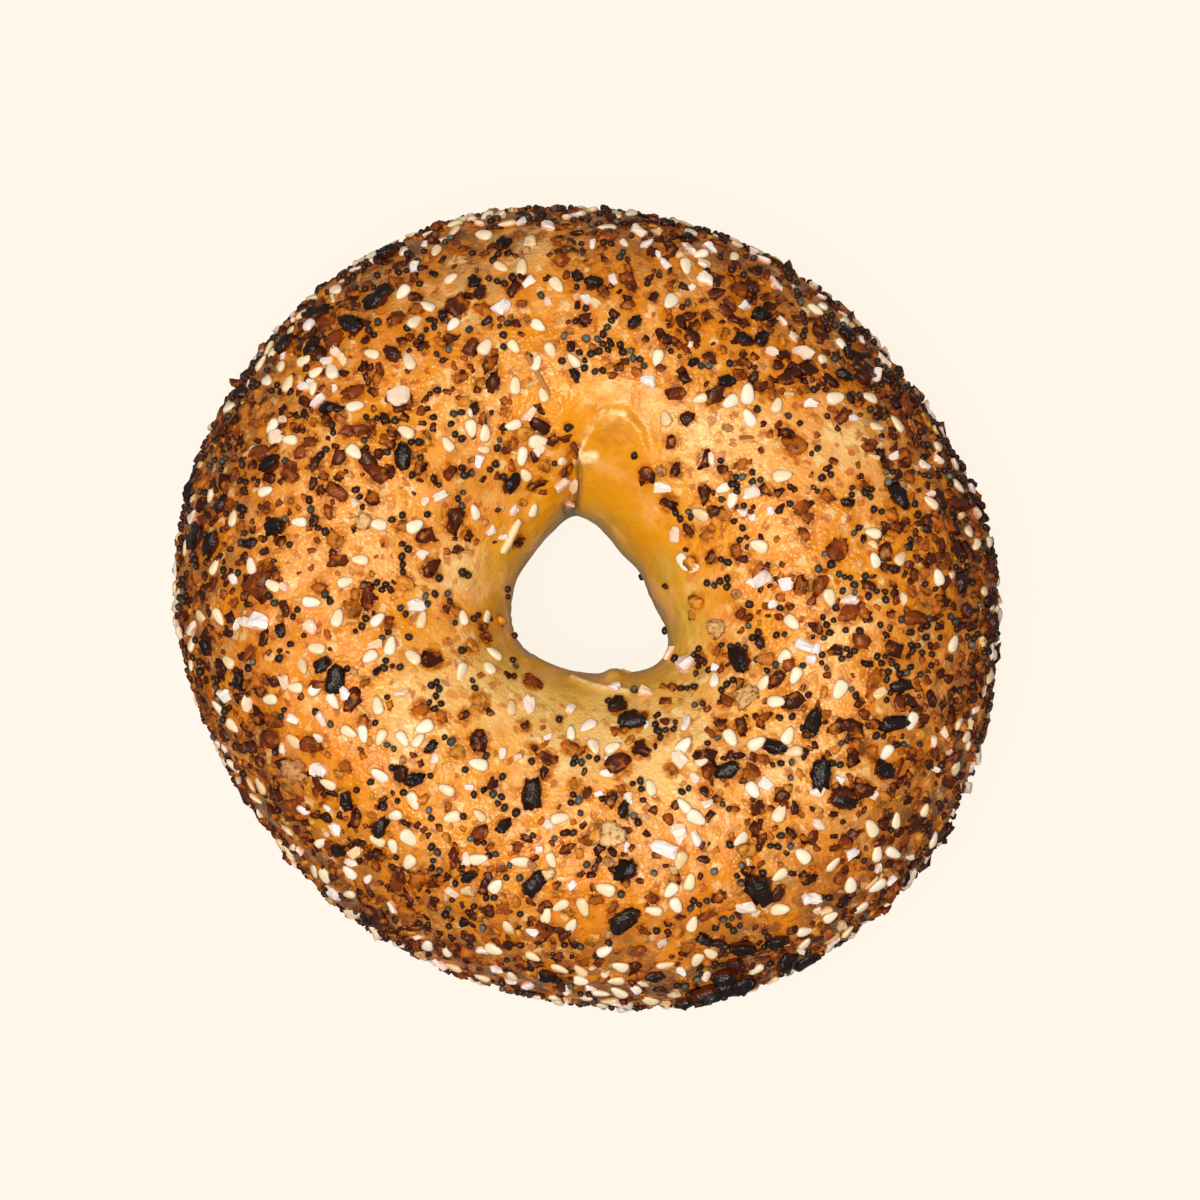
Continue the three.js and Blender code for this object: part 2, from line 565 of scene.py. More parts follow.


# From the middle of the sole out over the crest and back down the hole. The stops darken
# from the crest down to the outer waist and down the hole to its waist, where the rope turns
# away from the lamp: painted shade over the crust's own colour.
SKIN_COLOURS = {
    0.00: (176, 112, 44),
    0.17: (176, 106, 34),
    0.25: (134, 92, 56),
    0.33: (156, 98, 42),
    0.40: (178, 106, 30),
    0.46: (222, 132, 28),
    0.54: (246, 156, 34),
    0.60: (242, 158, 30),
    0.655: (234, 165, 30),
    0.70: (221, 169, 40),
    0.735: (190, 160, 50),
    0.77: (138, 134, 52),
    0.82: (104, 100, 42),
    0.90: (168, 110, 44),
}
BROWNED = (184, 98, 16)  # the darker patches
PEACH_HIGHLIGHT = (255, 190, 108)  # paler on the crest: a painted highlight, where the skin is also blistered most finely
PALE = (255, 224, 146)  # where it has browned least
DEEP_GOLD = (226, 144, 4)
OLIVE_GOLD = (206, 178, 84)  # the hole's wall, boiled and hardly browned
TAN = (164, 98, 26)
ORANGE = (236, 138, 6)
RUST = (172, 68, 8)
AMBER = (214, 122, 10)  # syrup that the toasting onion let out
SYRUP = (128, 56, 8)
# Pale cream: what sunk toppings left, and the painted sparkle on the small domes
CREAM_AND_SPARKLE = (255, 218, 152)
LIP_HIGHLIGHT = (255, 218, 150)
GLAZE_AND_SHINE = (255, 232, 176)
CREASE_SHADE = (96, 60, 16)
RIM_SHADE = (84, 58, 44)  # painted shade on the rim, which turns away from the lamp, in uneven patches
BLUSH = (238, 138, 64)
WARM_GLOSS = (1.0, 0.78, 0.52, 1.0)

crust_look = Look("baked_crust", 0.42, 0.45, WARM_GLOSS)
spot = crust_look.spot
own = crust_look.own
across = own("across")
off_wall = spread(across, 0.60, 0.66, 1.0, 0.15)
on_crest = spread(across, 0.36, 0.47, 0.2, 1.0)
on_rim = spread(across, 0.29, 0.45, 1.0, 0.0) * spread(across, 0.08, 0.20, 0.3, 1.0)
seeded = own("seeded")
crooked = warped(spot, 1.6 * MM, 1.1 * MM)
lighter = noise(elsewhere(spot, 3.1), 6 * MM, 5.0)
mottled = spread(noise(spot, 1.6 * MM, 4.0), 0.35, 0.6, 0.3, 1.0)
crackled = spread(lighter, 0.42, 0.56, 0.15, 1.0)
cream_spots = flecks(crooked, 1.8 * MM, 0.26)
amber_spots = flecks(elsewhere(crooked, 1.3), 2.2 * MM, 0.34)
brown_spots = flecks(elsewhere(crooked, 2.3), 1.5 * MM, 0.26)
uneven = spread(noise(crooked, 1.1 * MM, 3.0), 0.3, 0.7, 0.4, 1.4)
stain_and_shadow = calc("MINIMUM", own("stain_and_shadow") * uneven, 1.0)
rim_shade_patches = spread(noise(elsewhere(crooked, 8.3), 3.0 * MM, 4.0), 0.44, 0.58, 0.1, 0.9)
domes = hill(cells(spot, 0.65 * MM), 0.4)
broken = spread(noise(spot, 1.2 * MM, 3.0), 0.35, 0.6, 0.15, 0.95)
glaze = spread(own("glaze"), 0.1, 0.85, 0.0, 0.85) * spread(broken, 0.15, 0.95, 0.5, 1.0)

# The layers of colour, each laid over those before it by a share from 0 to 1.
crust_look.paint(
    across,
    SKIN_COLOURS,
    (drifts(spot, 9 * MM, 4.0, 0.47, 0.64, 0.8) * off_wall, BROWNED),
    # Peach on the crest: a painted highlight
    (spread(lighter, 0.50, 0.64, 0.0, 0.75) * on_crest, PEACH_HIGHLIGHT),
    (own("tan") * mottled, TAN),
    # What the toppings that sank in and melted have left between them
    (drifts(elsewhere(spot, 7.7), 8 * MM, 3.0, 0.47, 0.56, 0.85) * seeded, ORANGE),
    (drifts(elsewhere(crooked, 5.3), 2.4 * MM, 4.0, 0.50, 0.55, 0.75) * seeded, ORANGE),
    (drifts(elsewhere(crooked, 9.4), 3.4 * MM, 3.0, 0.50, 0.60, 0.7) * seeded * on_crest, BLUSH),
    # Finer peach on the crest: more painted highlight
    (drifts(elsewhere(spot, 6.1), 1.6 * MM, 4.0, 0.50, 0.58, 0.3) * seeded * crackled * on_crest, PEACH_HIGHLIGHT),
    (own("pale"), PALE),
    # Patches of painted highlight on the crest
    (own("peach"), PEACH_HIGHLIGHT),
    (own("gold"), DEEP_GOLD),
    (own("olive"), OLIVE_GOLD),
    (cream_spots * seeded * 0.6, CREAM_AND_SPARKLE),
    (amber_spots * seeded * 0.65, AMBER),
    (brown_spots * seeded * 0.72, RUST),
    # Stains round the flakes, amber at their edge and brown inside, and painted contact shadow round the
    # poppy seeds
    (spread(stain_and_shadow, 0.12, 0.5, 0.0, 0.85), AMBER),
    (spread(stain_and_shadow, 0.5, 1.0, 0.0, 0.8), SYRUP),
    # Darker, greyer patches on the rim: painted shade
    (rim_shade_patches * on_rim, RIM_SHADE),
    (drifts(spot, 0.8 * MM, 3.0, 0.35, 0.70, 0.2) * off_wall, BROWNED),
    # Pale dots on the small domes: painted sparkle highlights
    (domes * (spread(lighter, 0.45, 0.62, 0.0, 0.28) * seeded), CREAM_AND_SPARKLE),
    # The join, the drop of glaze, and the painted shine along the fold
    # A painted highlight along the flap's raised edge
    (spread(own("flap_lip"), 0.1, 0.8) * broken, LIP_HIGHLIGHT),
    (glaze, GLAZE_AND_SHINE),
    # The dark line in the crease: painted shade
    (own("crease") * 0.85, CREASE_SHADE),
)
gloss = noise(elsewhere(spot, 0.7), 2.5 * MM, 3.0)
fill(crust_look.surface["Roughness"], spread(gloss, 0.35, 0.7, 0.2, 0.42))

# Fine relief: ripples and sunken bits where the toppings lie, and a little grain everywhere.
SUNK_SHARE = 0.4
GRAIN_SHARE = 0.13
SKIN_RELIEF = 0.25 * MM
sunk_bits = domes + (cream_spots + amber_spots)
ripples = noise(elsewhere(spot, 2.9), 1.7 * MM, 2.0)
skin_height = (ripples + sunk_bits * SUNK_SHARE) * spread(seeded, 0.0, 1.0, 0.2, 1.0)
skin_height += noise(spot, 0.45 * MM, 3.0) * (off_wall * GRAIN_SHARE)
crust_look.bumps(skin_height, SKIN_RELIEF)

crust = grown("crust", solid.data.copy(), ring_tree, {
    **STEPS,
    **SIZES,
    **markers,
    "Material": crust_look.material,
})
for used in markers.values():
    bpy.data.objects.remove(used)

# Where the skin differs: how much, and soft round patches, each a pixel that the camera sees
# and a radius in millimetres.
PATCHES = {
    "pale": (0.6, (
        (660, 750, 10), (430, 700, 7), (475, 690, 7), (560, 745, 8), (610, 715, 6), (735, 690, 4),
        (690, 770, 6), (785, 760, 7), (720, 435, 7), (850, 440, 5), (850, 765, 5), (525, 700, 6),
        (460, 565, 5), (850, 630, 4), (460, 305, 5), (525, 245, 5), (265, 760, 4),
    )),
    # Peach patches on the crest: painted highlight
    "peach": (0.45, (
        (350, 540, 11), (330, 470, 8), (770, 450, 9), (840, 660, 9), (795, 790, 7), (430, 470, 7),
    )),
    "gold": (0.68, (
        (545, 515, 5), (572, 440, 3), (557, 492, 4), (720, 370, 6), (640, 480, 9), (655, 545, 6),
        (600, 440, 5), (560, 470, 4), (460, 370, 5), (525, 372, 6), (590, 370, 6), (655, 375, 6),
        (395, 435, 8), (525, 437, 6), (720, 500, 5), (525, 500, 5), (330, 400, 6), (655, 437, 5),
        (655, 500, 5), (660, 565, 5), (850, 565, 6), (915, 565, 8), (785, 640, 5), (460, 765, 5),
        (785, 697, 5), (330, 825, 7), (395, 825, 7), (460, 825, 6), (785, 825, 5), (395, 630, 5),
        (525, 890, 5),
    )),
    "olive": (0.6, (
        (500, 665, 6), (560, 700, 7), (620, 705, 6), (680, 680, 6), (690, 620, 5), (665, 570, 3),
    )),
    "tan": (0.95, (
        (611, 428, 2.2), (618, 438, 2.0), (603, 441, 1.5),
    )),
}


def read(items, label, width=1, kind=float):
    """One property of all of a mesh's corners or faces, as rows of numbers."""
    values = np.empty(len(items) * width, kind)
    items.foreach_get(label, values)
    return values.reshape(-1, width) if width > 1 else values


crust_mesh = crust.data
crust_places = read(crust_mesh.vertices, "co", 3)
crust_normals = read(crust_mesh.vertices, "normal", 3)
crust_across = read(crust_mesh.attributes["across"].data, "value")
crust_surface = surface_of(crust_mesh)


def near_patches(places, patches):
    """How near each place is to the nearest patch, from 0 to 1 at its middle."""
    near = np.zeros(len(places))
    for x, y, radius in patches:
        middle, _ = seen_at(crust_surface, x, y)
        away = np.linalg.norm(places - np.array(middle), axis=1) / (radius * MM)
        near = np.maximum(near, np.exp(-away ** 2))
    return near


def mark_crust(label, strength):
    attribute = crust_mesh.attributes.new(label, "FLOAT", "POINT")
    attribute.data.foreach_set("value", strength)


for label, (strength, patches) in PATCHES.items():
    mark_crust(label, strength * near_patches(crust_places, patches))

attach(crust, "root")
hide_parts("bagel")


# ---------------------------------------------------------------------------------------------
# The toppings, pressed onto the wet dough before baking. All lie on the crust or a little sunk
# in it, dense on the flanks and missing from the hole's wall. Each bit starts as a small cube
# of faces, which one tree rounds, tapers, bends and wrinkles differently for every bit.

CELL_FILL = 0.92  # how much of its cell of the bake's map a bit takes
BEND_BALANCE = 0.35  # keeps a bent bit's middle where it was
ABOVE_TABLE = 0.02 * MM

bits_tree, given = new_tree(
    "strewn_bits",
    Int=("Faces long", "Faces wide", "Faces high", "Columns"),
    Float=("Squareness", "Taper", "Lump size", "Lump depth", "Wrinkle depth"),
    Vector=("Wrinkles",),
    Bool=("Smooth",),
)


def carried(label, kind):
    """What each bit's starting point carries under this name."""
    return add(bits_tree, "GeometryNodeInputNamedAttribute", {"Name": label}, data_type=kind)


place = add(bits_tree, "GeometryNodeInputPosition")
cube = add(bits_tree, "GeometryNodeMeshCube", {
    "Size": (2, 2, 2),
    "Vertices X": given["Faces long"] + 1,
    "Vertices Y": given["Faces wide"] + 1,
    "Vertices Z": given["Faces high"] + 1,
})
one_bit = keep(cube, "own_place", place, "FLOAT_VECTOR")
one_bit = keep(one_bit, "OFBake", cube.other("UV Map"), "FLOAT2", "CORNER")
copies = add(bits_tree, "GeometryNodeInstanceOnPoints", {
    "Points": keep(given["Geometry"], "middle", place, "FLOAT_VECTOR"),
    "Instance": one_bit,
})
bits = add(bits_tree, "GeometryNodeRealizeInstances", {"Geometry": copies})

# A rounded, lumpy shape of half-size 1 each way.
cubic = carried("own_place", "FLOAT_VECTOR")
ball = add(bits_tree, "ShaderNodeVectorMath", {"Vector": cubic}, operation="NORMALIZE")
form = add(bits_tree, "ShaderNodeMix", {
    "Factor": given["Squareness"],
    "A": ball,
    "B": cubic,
}, data_type="VECTOR")
variety = carried("shape", "FLOAT_VECTOR")
swirl = noise(ball * (1.0 / given["Lump size"]) + variety, 1.0, 1.0).other("Color")
form = form + (swirl - 0.5) * given["Lump depth"]
furrows = swing(ball * given["Wrinkles"] + variety, 1.0, 1.0)
form = form + ball * (furrows * given["Wrinkle depth"])

# Narrower to one end, and bent up or down at both.
along, sideways, upwards = parts_of(form)
thinned = 1.0 - (along + 1.0) * 0.5 * given["Taper"]
bow = (along * along - BEND_BALANCE) * carried("curl", "FLOAT")
form = vector_of(along, sideways * thinned, upwards * thinned + bow)
laid = add(bits_tree, "FunctionNodeRotateVector", {
    "Vector": form * carried("half_size", "FLOAT_VECTOR"),
    "Rotation": carried("turned", "QUATERNION"),
})
laid_x, laid_y, laid_z = parts_of(laid + carried("middle", "FLOAT_VECTOR"))
bits = moved(bits, "Position", vector_of(laid_x, laid_y, calc("MAXIMUM", laid_z, ABOVE_TABLE)))

# Every bit has a cell of the bake's map to itself.
number = carried("number", "INT")
column = calc("MODULO", number, given["Columns"])
row = calc("FLOOR", number / given["Columns"])
in_cell = carried("OFBake", "FLOAT_VECTOR") * CELL_FILL + vector_of(column, row, 0.0)
in_map = (in_cell + ((1 - CELL_FILL) / 2, (1 - CELL_FILL) / 2, 0.0)) * (1.0 / given["Columns"])
bits = keep(bits, "OFBake", in_map, "FLOAT2", "CORNER")
bits = keep(bits, "rise", parts_of(ball)[2])
for label in ("own_place", "middle", "half_size", "turned", "curl", "number", "shape"):
    bits = add(bits_tree, "GeometryNodeRemoveAttribute", {"Geometry": bits, "Name": label})
end_tree(bits, given["Smooth"], given["Material"])

crust_mesh.calc_loop_triangles()
crust_triangles = read(crust_mesh.loop_triangles, "vertices", 3, int)
corners_a, corners_b, corners_c = (crust_places[crust_triangles[:, i]] for i in range(3))
triangle_areas = np.linalg.norm(np.cross(corners_b - corners_a, corners_c - corners_a), axis=1)

rng = np.random.default_rng(41)
CROWD_CELL = 3 * MM
taken = {}  # the bits already laid, by the cell of space they are in


def cell_of(place):
    return tuple(int(math.floor(c / CROWD_CELL)) for c in place)


def crowded(place, reach, squeeze):
    """Whether a bit that reaches this far would come too close to one already laid."""
    cell = cell_of(place)
    for step in product((-1, 0, 1), repeat=3):
        for x, y, z, other in taken.get(tuple(c + s for c, s in zip(cell, step)), ()):
            near = squeeze * (reach + other)
            if (place[0] - x) ** 2 + (place[1] - y) ** 2 + (place[2] - z) ** 2 < near * near:
                return True
    return False


def take(place, reach):
    taken.setdefault(cell_of(place), []).append((*place, reach))


# How readily bits lie on the crust, from the sole's middle out over the crest to the hole.
COVER = {
    0.00: 0.22, 0.12: 0.30, 0.17: 0.80, 0.26: 1.30, 0.33: 1.30, 0.42: 1.0, 0.56: 1.0, 0.60: 0.92,
    0.635: 0.48, 0.66: 0.12, 0.68: 0.02, 0.70: 0.004, 0.88: 0.004, 0.93: 0.20, 1.00: 0.22,
}
BARE_DIRECTION = math.radians(79)  # towards the join, where the bare wall reaches further up
BARE_WIDTH = math.radians(21)
BARE_FROM, BARE_TO = 0.535, 0.78
BARE_SHARE = 0.97  # the share of the bits that is missing there


def cover(places, across):
    """The share of candidates that stay at each place."""
    share = np.interp(across, list(COVER), list(COVER.values()))
    direction = np.arctan2(places[:, 1], places[:, 0])
    away = np.abs((direction - BARE_DIRECTION + math.pi) % FULL_TURN - math.pi)
    bare = np.exp(-(away / BARE_WIDTH) ** 4) * (across > BARE_FROM) * (across < BARE_TO)
    return share * (1 - BARE_SHARE * bare)


mark_crust("seeded", np.minimum(cover(crust_places, crust_across), 1.0))


def candidates(count):
    """Random points spread evenly over the crust: their places, normals and turns round the rope."""
    shares = np.cumsum(triangle_areas) / triangle_areas.sum()
    picked = np.searchsorted(shares, rng.random(count))
    a, b = rng.random(count), rng.random(count)
    over = a + b > 1
    a[over], b[over] = 1 - a[over], 1 - b[over]
    weights = np.stack([1 - a - b, a, b], axis=1)
    corners = crust_triangles[picked]
    places = (crust_places[corners] * weights[:, :, None]).sum(1)
    normals = (crust_normals[corners] * weights[:, :, None]).sum(1)
    return places, normals / np.linalg.norm(normals, axis=1)[:, None], crust_across[corners[:, 0]]


class Bits:
    """One kind of topping: where each bit lies, how it is turned, its half-sizes, tint and curl."""

    def __init__(self):
        self.laid = []

    def lay(self, place, normal, half_size, tint, curl, sunk, tilt, spin):
        """Lays a bit flat on the crust, then sinks and tilts it; spin is its direction."""
        turned = Vector(normal).to_track_quat("Z", "Y") @ Quaternion((0, 0, 1), spin)
        turned = turned @ Quaternion((1, 0, 0), tilt[0]) @ Quaternion((0, 1, 0), tilt[1])
        middle = Vector(place) + Vector(normal) * half_size[2] * (1 - 2 * sunk)
        upright = turned.to_matrix()[2]
        below = math.sqrt(sum((upright[i] * half_size[i]) ** 2 for i in range(3)))
        middle.z = max(middle.z, below)  # nothing reaches under the table's surface
        self.laid.append((tuple(middle), tuple(turned), tuple(half_size), tint, curl))

    def piece(self, name, look, slot, form):
        """The finished piece, riding on the bagel."""
        count = len(self.laid)
        middles, turns, sizes, tints, curls = zip(*self.laid)
        points = bpy.data.meshes.new(name + "_points")
        points.from_pydata(middles, [], [])
        for label, kind, values in (
            ("turned", "QUATERNION", turns),
            ("half_size", "FLOAT_VECTOR", sizes),
            ("shape", "FLOAT_VECTOR", rng.uniform(0, 90, (count, 3))),
            ("tint", "FLOAT", tints),
            ("curl", "FLOAT", curls),
            ("number", "INT", range(count)),
        ):
            attribute = points.attributes.new(label, kind, "POINT")
            member = "vector" if kind == "FLOAT_VECTOR" else "value"
            attribute.data.foreach_set(member, np.asarray(values).ravel())
        columns = math.ceil(math.sqrt(count))
        inputs = {"Smooth": True, **form, "Columns": columns, "Material": look.material}
        piece = grown(name, points, bits_tree, inputs)
        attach(piece, "root")


def direction_on(normal, degrees):
    """The spin that points a bit's long side this way as the camera sees it, from +X to +Y."""
    angle = math.radians(degrees)
    wanted = across_view * math.cos(angle) + up_view * math.sin(angle)
    inside = Vector(normal).to_track_quat("Z", "Y").inverted() @ wanted
    return math.atan2(inside.y, inside.x)


def place_seen(bits, places, width, thickness, tint, sunk, tilt, curl):
    """Lays bits at the pixels given, with their length in millimetres and direction in degrees.
    Their width is a share of the length, and their thickness is in millimetres."""
    for x, y, length, degrees in places:
        place, normal = seen_at(crust_surface, x, y)
        size = (length, length * rng.uniform(*width), thickness * rng.uniform(0.8, 1.2))
        half_size = np.array(size) * MM / 2
        take(place, 0.5 * (half_size[0] + half_size[1]))
        leaning = rng.normal(0, tilt, 2)
        spin = direction_on(normal, degrees)
        bits.lay(place, normal, half_size, rng.uniform(*tint), rng.normal(0, curl), sunk, leaning, spin)


CHOICE = 36  # candidates for each bit that is wanted
MOST_READY = 3.0  # the readiness at which every candidate stays


def strew(bits, count, share, size, squeeze, sunk, tilt, curl):
    """Lays this many bits at random, more of them where the cover and the share are higher.
    The size function gives a bit's three sizes in millimetres and its tint."""
    places, normals, across = candidates(count * CHOICE)
    wanted = cover(places, across) * share(places, across)
    laid = 0
    for i in np.flatnonzero(rng.random(len(places)) * MOST_READY < wanted):
        if laid == count:
            break
        sizes, tint = size()
        half_size = np.array(sizes) * MM / 2
        reach = 0.5 * (half_size[0] + half_size[1])
        if crowded(places[i], reach, squeeze):
            continue
        take(places[i], reach)
        leaning = rng.normal(0, tilt, 2)
        spin = rng.uniform(0, FULL_TURN)
        bits.lay(places[i], normals[i], half_size, tint, rng.normal(0, curl), sunk, leaning, spin)
        laid += 1


def chips(length, variety, width, thickness, tint=rng.random):
    """A size function for broken bits about this long, in millimetres. The width and the
    thickness are shares of the length, each drawn between two ends."""
    def size():
        long = rng.lognormal(math.log(length), variety)
        return (long, long * rng.uniform(*width), long * rng.uniform(*thickness)), tint()

    return size


def anywhere(places, across):
    return np.ones(len(places))


def handfuls(places, count, reach, rest):
    """Unevenness: small handfuls that fell together at random, and the share between them."""
    middles, _, _ = candidates(count)
    share = np.full(len(places), rest)
    for middle in middles:
        away = np.linalg.norm(places - middle, axis=1) / reach
        share += (1 - rest) * np.exp(-away ** 2)
    return share


# ---------------------------------------------------------------------------------------------
# Charred onion: bits of dried onion that burnt black and shrivelled in the oven. The larger
# ones lie at listed places: each place is a pixel, a length and a direction.

CHARRED_PLACES = (
    (389, 255, 3.4, 20), (378, 300, 5.2, 45), (321, 314, 4.6, 30), (353, 326, 3.8, -20),
    (286, 345, 3.4, 50), (313, 347, 3.2, 80), (403, 457, 3.8, 90), (272, 465, 3.2, 30),
    (329, 409, 2.8, 0), (223, 504, 3.0, 70), (197, 539, 5.0, 10), (214, 545, 4.2, 40),
    (504, 246, 3.2, 60), (635, 323, 2.4, 40), (594, 284, 2.8, 0), (760, 316, 3.0, 20),
    (743, 341, 3.0, -30), (761, 340, 2.8, 50), (727, 382, 3.0, 10), (511, 482, 3.4, 50),
    (277, 528, 3.4, 0), (336, 680, 4.4, 80), (323, 665, 2.8, 40), (209, 643, 3.4, 90),
    (241, 680, 3.0, 70), (414, 779, 2.9, 10), (846, 337, 3.0, -40), (842, 376, 2.6, -20),
    (898, 497, 3.8, -60), (959, 582, 3.0, 90), (900, 686, 3.6, 10), (740, 660, 4.4, -50),
    (813, 721, 4.2, 80), (892, 724, 4.4, 10), (775, 747, 3.6, -15), (728, 770, 3.6, 20),
    (821, 774, 4.4, 80), (883, 770, 3.4, -30), (845, 800, 3.8, -20), (347, 800, 2.8, 90),
    (381, 826, 3.5, 60), (470, 875, 2.6, 30), (531, 795, 4.7, 88), (504, 826, 2.8, 45),
    (623, 810, 2.6, 80), (534, 883, 4.1, 55), (625, 870, 3.9, 30), (623, 919, 5.3, 42),
    (759, 890, 5.3, -70), (741, 945, 4.1, 5), (776, 940, 3.8, 0), (704, 938, 2.7, -30),
    (655, 975, 2.8, 0), (549, 973, 2.6, -30), (684, 999, 3.0, 0), (806, 959, 4.4, 20),
    (842, 900, 2.9, 20), (902, 877, 2.6, 40), (632, 722, 4.2, 0), (618, 709, 2.7, 20),
)
RIM_LUMP_PLACES = ((706, 988, 4.2, 10), (724, 984, 4.6, 0), (741, 979, 4.0, 70), (722, 972, 3.8, 30))
DARK_HANDFULS = (
    (375, 275, 7), (320, 320, 6), (180, 520, 8), (170, 560, 6), (770, 320, 6), (870, 390, 8),
    (890, 480, 8), (960, 540, 9), (975, 620, 8), (965, 700, 9), (725, 970, 6), (920, 860, 6),
    (560, 220, 6), (825, 765, 4), (525, 875, 4), (405, 450, 3), (285, 345, 5), (579, 200, 6),
    (440, 258, 6), (448, 325, 5), (841, 328, 6), (251, 394, 6), (776, 394, 5), (907, 394, 7),
    (185, 459, 6), (382, 459, 5), (907, 459, 6), (251, 525, 5), (975, 575, 10), (841, 591, 5),
    (645, 656, 3), (776, 656, 5), (907, 656, 6), (600, 375, 5), (655, 372, 5), (720, 500, 4),
    (915, 560, 6), (200, 695, 6), (520, 955, 5), (985, 610, 6), (525, 440, 4), (395, 825, 5),
    (460, 890, 5), (850, 760, 5), (975, 700, 6),
)
DARK_SPARSE = (
    (510, 310, 5), (640, 430, 8), (460, 500, 7), (330, 560, 7), (330, 620, 5), (400, 680, 8),
    (350, 740, 7), (670, 745, 6), (470, 815, 4), (720, 815, 6), (560, 860, 4), (690, 860, 5),
    (570, 920, 7), (600, 970, 4), (316, 656, 6), (251, 788, 8), (316, 788, 7), (316, 853, 8),
    (382, 853, 8), (448, 984, 9), (513, 984, 9), (645, 984, 8), (710, 984, 6), (776, 984, 9),
    (841, 919, 9), (841, 853, 7), (973, 788, 8), (776, 919, 6), (382, 919, 7), (645, 919, 6),
    (655, 745, 7), (785, 765, 5), (475, 695, 7), (540, 700, 6), (448, 656, 5), (513, 656, 4),
    (513, 722, 5), (710, 788, 6), (841, 788, 5), (907, 788, 7), (776, 525, 6), (776, 591, 5),
    (841, 459, 6), (448, 262, 5), (710, 984, 4), (395, 500, 5), (460, 435, 5), (265, 630, 5),
    (525, 240, 5), (720, 435, 5), (265, 760, 5),
)


def charred_share(places, across):
    share = np.interp(across, (0.25, 0.36, 0.5), (0.6, 0.5, 0.3))
    share *= 0.5 + 2.5 * near_patches(places, DARK_HANDFULS)
    return share * (1 - 0.9 * near_patches(places, DARK_SPARSE))


charred = Bits()
place_seen(charred, CHARRED_PLACES, width=(0.55, 0.8), thickness=1.8, tint=(0, 0.55),
           sunk=0.25, tilt=0.18, curl=0.12)
place_seen(charred, RIM_LUMP_PLACES, width=(0.7, 0.9), thickness=2.6, tint=(0, 0.25),
           sunk=0.15, tilt=0.3, curl=0.1)
strew(charred, 170, charred_share, chips(1.8, 0.25, (0.6, 0.95), (0.5, 0.75)),
      squeeze=0.65, sunk=0.25, tilt=0.25, curl=0.15)

charred_look = Look("charred_onion", 0.22, 0.35, (1.0, 0.9, 0.82, 1.0))
spot = charred_look.spot
charred_look.paint(
    charred_look.own("tint"),
    {0.0: (10, 6, 6), 0.5: (26, 11, 9), 1.0: (70, 24, 12)},
    (drifts(spot, 0.9 * MM, 3.0, 0.52, 0.72, 0.35), (90, 36, 18)),
    (spread(charred_look.own("rise"), 0.4, -0.1, 0.0, 0.8), (96, 34, 10)),
)
charred_look.bumps(noise(spot, 0.4 * MM, 3.0), 0.16 * MM)

charred.piece("charred_onion", charred_look, "burnt_onion", {
    "Faces long": 7, "Faces wide": 5, "Faces high": 3,
    "Squareness": 0.05, "Taper": 0.2, "Lump size": 0.7, "Lump depth": 0.95,
    "Wrinkles": (2.4, 2.6, 2.4), "Wrinkle depth": 0.55,
})


# ---------------------------------------------------------------------------------------------
# Sesame seeds: hulled, cream, drop-shaped and flat, a little oily from the oven.

PALE_HANDFULS = (
    (370, 735, 7), (405, 575, 5), (775, 770, 6), (655, 745, 6), (870, 325, 5), (320, 370, 5),
    (700, 425, 6), (670, 820, 6), (570, 870, 5), (620, 975, 5), (420, 960, 5), (835, 919, 6),
    (170, 620, 5), (820, 670, 4), (776, 790, 7), (382, 722, 8), (448, 788, 6), (710, 459, 6),
    (448, 440, 5), (776, 722, 5), (579, 919, 5),
)
PALE_SPARSE = (
    (600, 370, 9), (425, 370, 5), (590, 430, 6), (800, 560, 9), (880, 480, 7), (700, 470, 5),
    (330, 470, 5), (325, 560, 4), (460, 660, 6), (720, 610, 5), (900, 730, 6), (820, 850, 5),
    (185, 459, 6), (382, 459, 5), (382, 525, 6), (382, 591, 6), (251, 394, 6), (710, 328, 7),
    (841, 459, 6), (910, 459, 8), (907, 656, 7), (710, 656, 5), (579, 788, 6), (382, 919, 6),
    (776, 919, 6), (645, 853, 5), (973, 591, 7), (316, 328, 5), (448, 394, 6), (513, 394, 5),
    (448, 525, 5), (448, 722, 6), (513, 788, 6), (776, 853, 6), (841, 656, 5), (710, 722, 5),
    (200, 695, 7),
)


def sesame_size():
    length = rng.normal(2.95, 0.2)
    return (length, length * rng.normal(0.78, 0.05), rng.normal(1.15, 0.08)), rng.random()


def pale_share(places, across):
    share = handfuls(places, 40, 6 * MM, 0.6) * np.interp(across, (0.3, 0.42), (0.95, 1.0))
    share += 1.3 * near_patches(places, PALE_HANDFULS)
    return share * (1 - 0.8 * near_patches(places, PALE_SPARSE))


sesame = Bits()
strew(sesame, 465, pale_share, sesame_size, squeeze=0.78, sunk=0.28, tilt=0.18, curl=0.05)

sesame_look = Look("sesame_skin", 0.34, 0.5, (1.0, 0.95, 0.85, 1.0))
spot = sesame_look.spot
sesame_look.paint(
    sesame_look.own("tint"),
    {0.0: (236, 198, 142), 0.1: (248, 220, 174), 0.5: (251, 228, 190), 1.0: (253, 237, 213)},
    (drifts(spot, 1.1 * MM, 2.0, 0.45, 0.75, 0.4), (250, 216, 172)),
    # Warm amber towards each seed's underside: painted shade with light bounced from the crust
    (spread(sesame_look.own("rise"), 0.45, -0.1, 0.0, 0.7), (236, 172, 92)),
)
sesame_look.lit_through(0.2, (1.0, 0.8, 0.5), 0.5 * MM)
sesame_look.bumps(noise(spot, 0.3 * MM, 2.0), 0.03 * MM)

